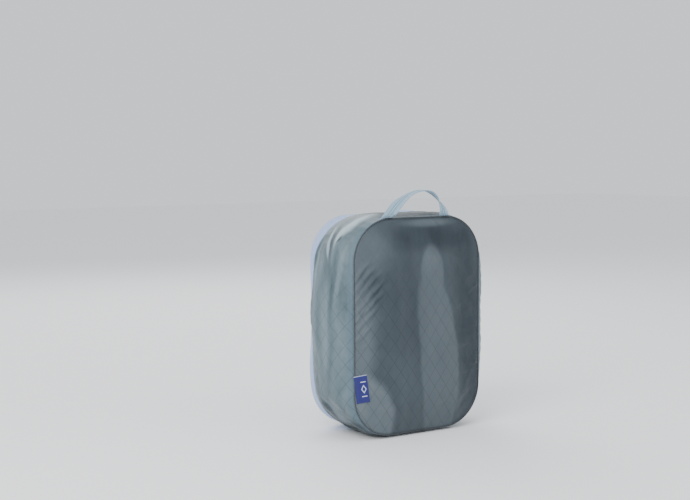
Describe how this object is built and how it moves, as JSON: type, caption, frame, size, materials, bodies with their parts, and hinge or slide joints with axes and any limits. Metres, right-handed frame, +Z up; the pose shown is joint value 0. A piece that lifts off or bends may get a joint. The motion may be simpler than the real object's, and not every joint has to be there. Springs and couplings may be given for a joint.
{
  "type": "packing cube",
  "caption": "Soft rounded packing cube in translucent ripstop with a compression zipper, a hinged zipped back panel, a webbing top handle and a side label.",
  "frame": {"origin": "centre of the base, on the surface the cube stands on", "axes": "+X across the width, +Y from the front panel to the back panel, +Z up"},
  "size_m": [0.206, 0.1059, 0.2819],
  "materials": {
    "ripstop": "semi-translucent slate grey ripstop with a thin diamond grid",
    "gusset_cloth": "the same ripstop, seen with light through it",
    "piping_cloth": "folded seam in the panel cloth",
    "zip_tape": "woven pale blue polyester zipper tape",
    "coil": "pale blue nylon coil",
    "binding": "woven seam binding",
    "webbing": "ribbed polyester webbing",
    "label_cloth": "royal blue woven label",
    "thread": "dark polyester thread",
    "zinc": "satin grey lacquered zinc",
    "grip": "matte moulded rubber"
  },
  "bodies": {
    "front_shell": {"front_panel": "ripstop", "front_gusset": "gusset_cloth", "front_piping": "piping_cloth", "front_seam_binding": "binding", "gusset_hem_binding": "binding", "compression_tape_front": "zip_tape", "compression_coil_front": "coil", "compression_pleat": "ripstop", "compression_end_tab": "binding", "handle_bar_tack_left": "thread", "handle_bar_tack_right": "thread"},
    "rear_shell": {"compression_tape_rear": "zip_tape", "compression_coil_rear": "coil", "rear_piping": "piping_cloth", "rear_seam_binding": "binding", "rear_frame_panel": "ripstop", "main_tape_outer": "zip_tape", "main_coil_outer": "coil", "hinge_tape_frame": "binding", "main_end_stop_lower": "zinc", "main_end_stop_upper": "zinc"},
    "lid": {"lid_panel": "ripstop", "main_tape_inner": "zip_tape", "main_coil_inner": "coil", "lid_seam_binding": "binding", "hinge_tape_lid": "binding"},
    "main_slider_left": {"main_slider_left_body": "zinc"},
    "main_pull_left": {"main_pull_left_link": "zinc", "main_pull_left_grip": "grip"},
    "main_slider_right": {"main_slider_right_body": "zinc"},
    "main_pull_right": {"main_pull_right_link": "zinc", "main_pull_right_grip": "grip"},
    "compression_slider": {"compression_slider_body": "zinc"},
    "compression_pull": {"compression_pull_link": "zinc", "compression_pull_grip": "grip"},
    "handle": {"handle_webbing": "webbing"},
    "label": {"side_label": "label_cloth"}
  },
  "joints": [
    {"name": "expansion_slide", "type": "slide", "parent": "front_shell", "child": "rear_shell", "axis": [0, 1, 0], "range_m": [0, 0.035], "deforming": ["compression_pleat"]},
    {"name": "lid_hinge", "type": "hinge", "parent": "rear_shell", "child": "lid", "pos_m": [0.0722, 0.0493, 0.127], "axis": [0, 0, -1], "range_deg": [0, 170]},
    {"name": "main_slider_left_travel", "type": "slide", "parent": "lid", "child": "main_slider_left", "axis": [-1, 0, 0], "range_m": [0, 0.03]},
    {"name": "main_pull_left_swing", "type": "hinge", "parent": "main_slider_left", "child": "main_pull_left", "pos_m": [-0.0056, 0.0519, 0.23415], "axis": [1, 0, 0], "range_deg": [0, 150]},
    {"name": "main_slider_right_travel", "type": "slide", "parent": "lid", "child": "main_slider_right", "axis": [1, 0, 0], "range_m": [0, 0.03]},
    {"name": "main_pull_right_swing", "type": "hinge", "parent": "main_slider_right", "child": "main_pull_right", "pos_m": [0.0056, 0.0519, 0.23415], "axis": [1, 0, 0], "range_deg": [0, 150]},
    {"name": "compression_slider_travel", "type": "slide", "parent": "front_shell", "child": "compression_slider", "axis": [0, 0, 1], "range_m": [0, 0.125]},
    {"name": "compression_pull_swing", "type": "hinge", "parent": "compression_slider", "child": "compression_pull", "pos_m": [0.0985, 0.03444, 0.073], "axis": [0.3915, -0.9202, 0], "range_deg": [0, 150]},
    {"name": "handle_swing", "type": "hinge", "parent": "front_shell", "child": "handle", "pos_m": [0, -0.0452, 0.2527], "axis": [1, 0, 0], "range_deg": [-60, 75]},
    {"name": "label_flap", "type": "hinge", "parent": "front_shell", "child": "label", "pos_m": [-0.085, -0.0463, 0.06], "axis": [0, 0, -1], "range_deg": [0, 130]}
  ]
}
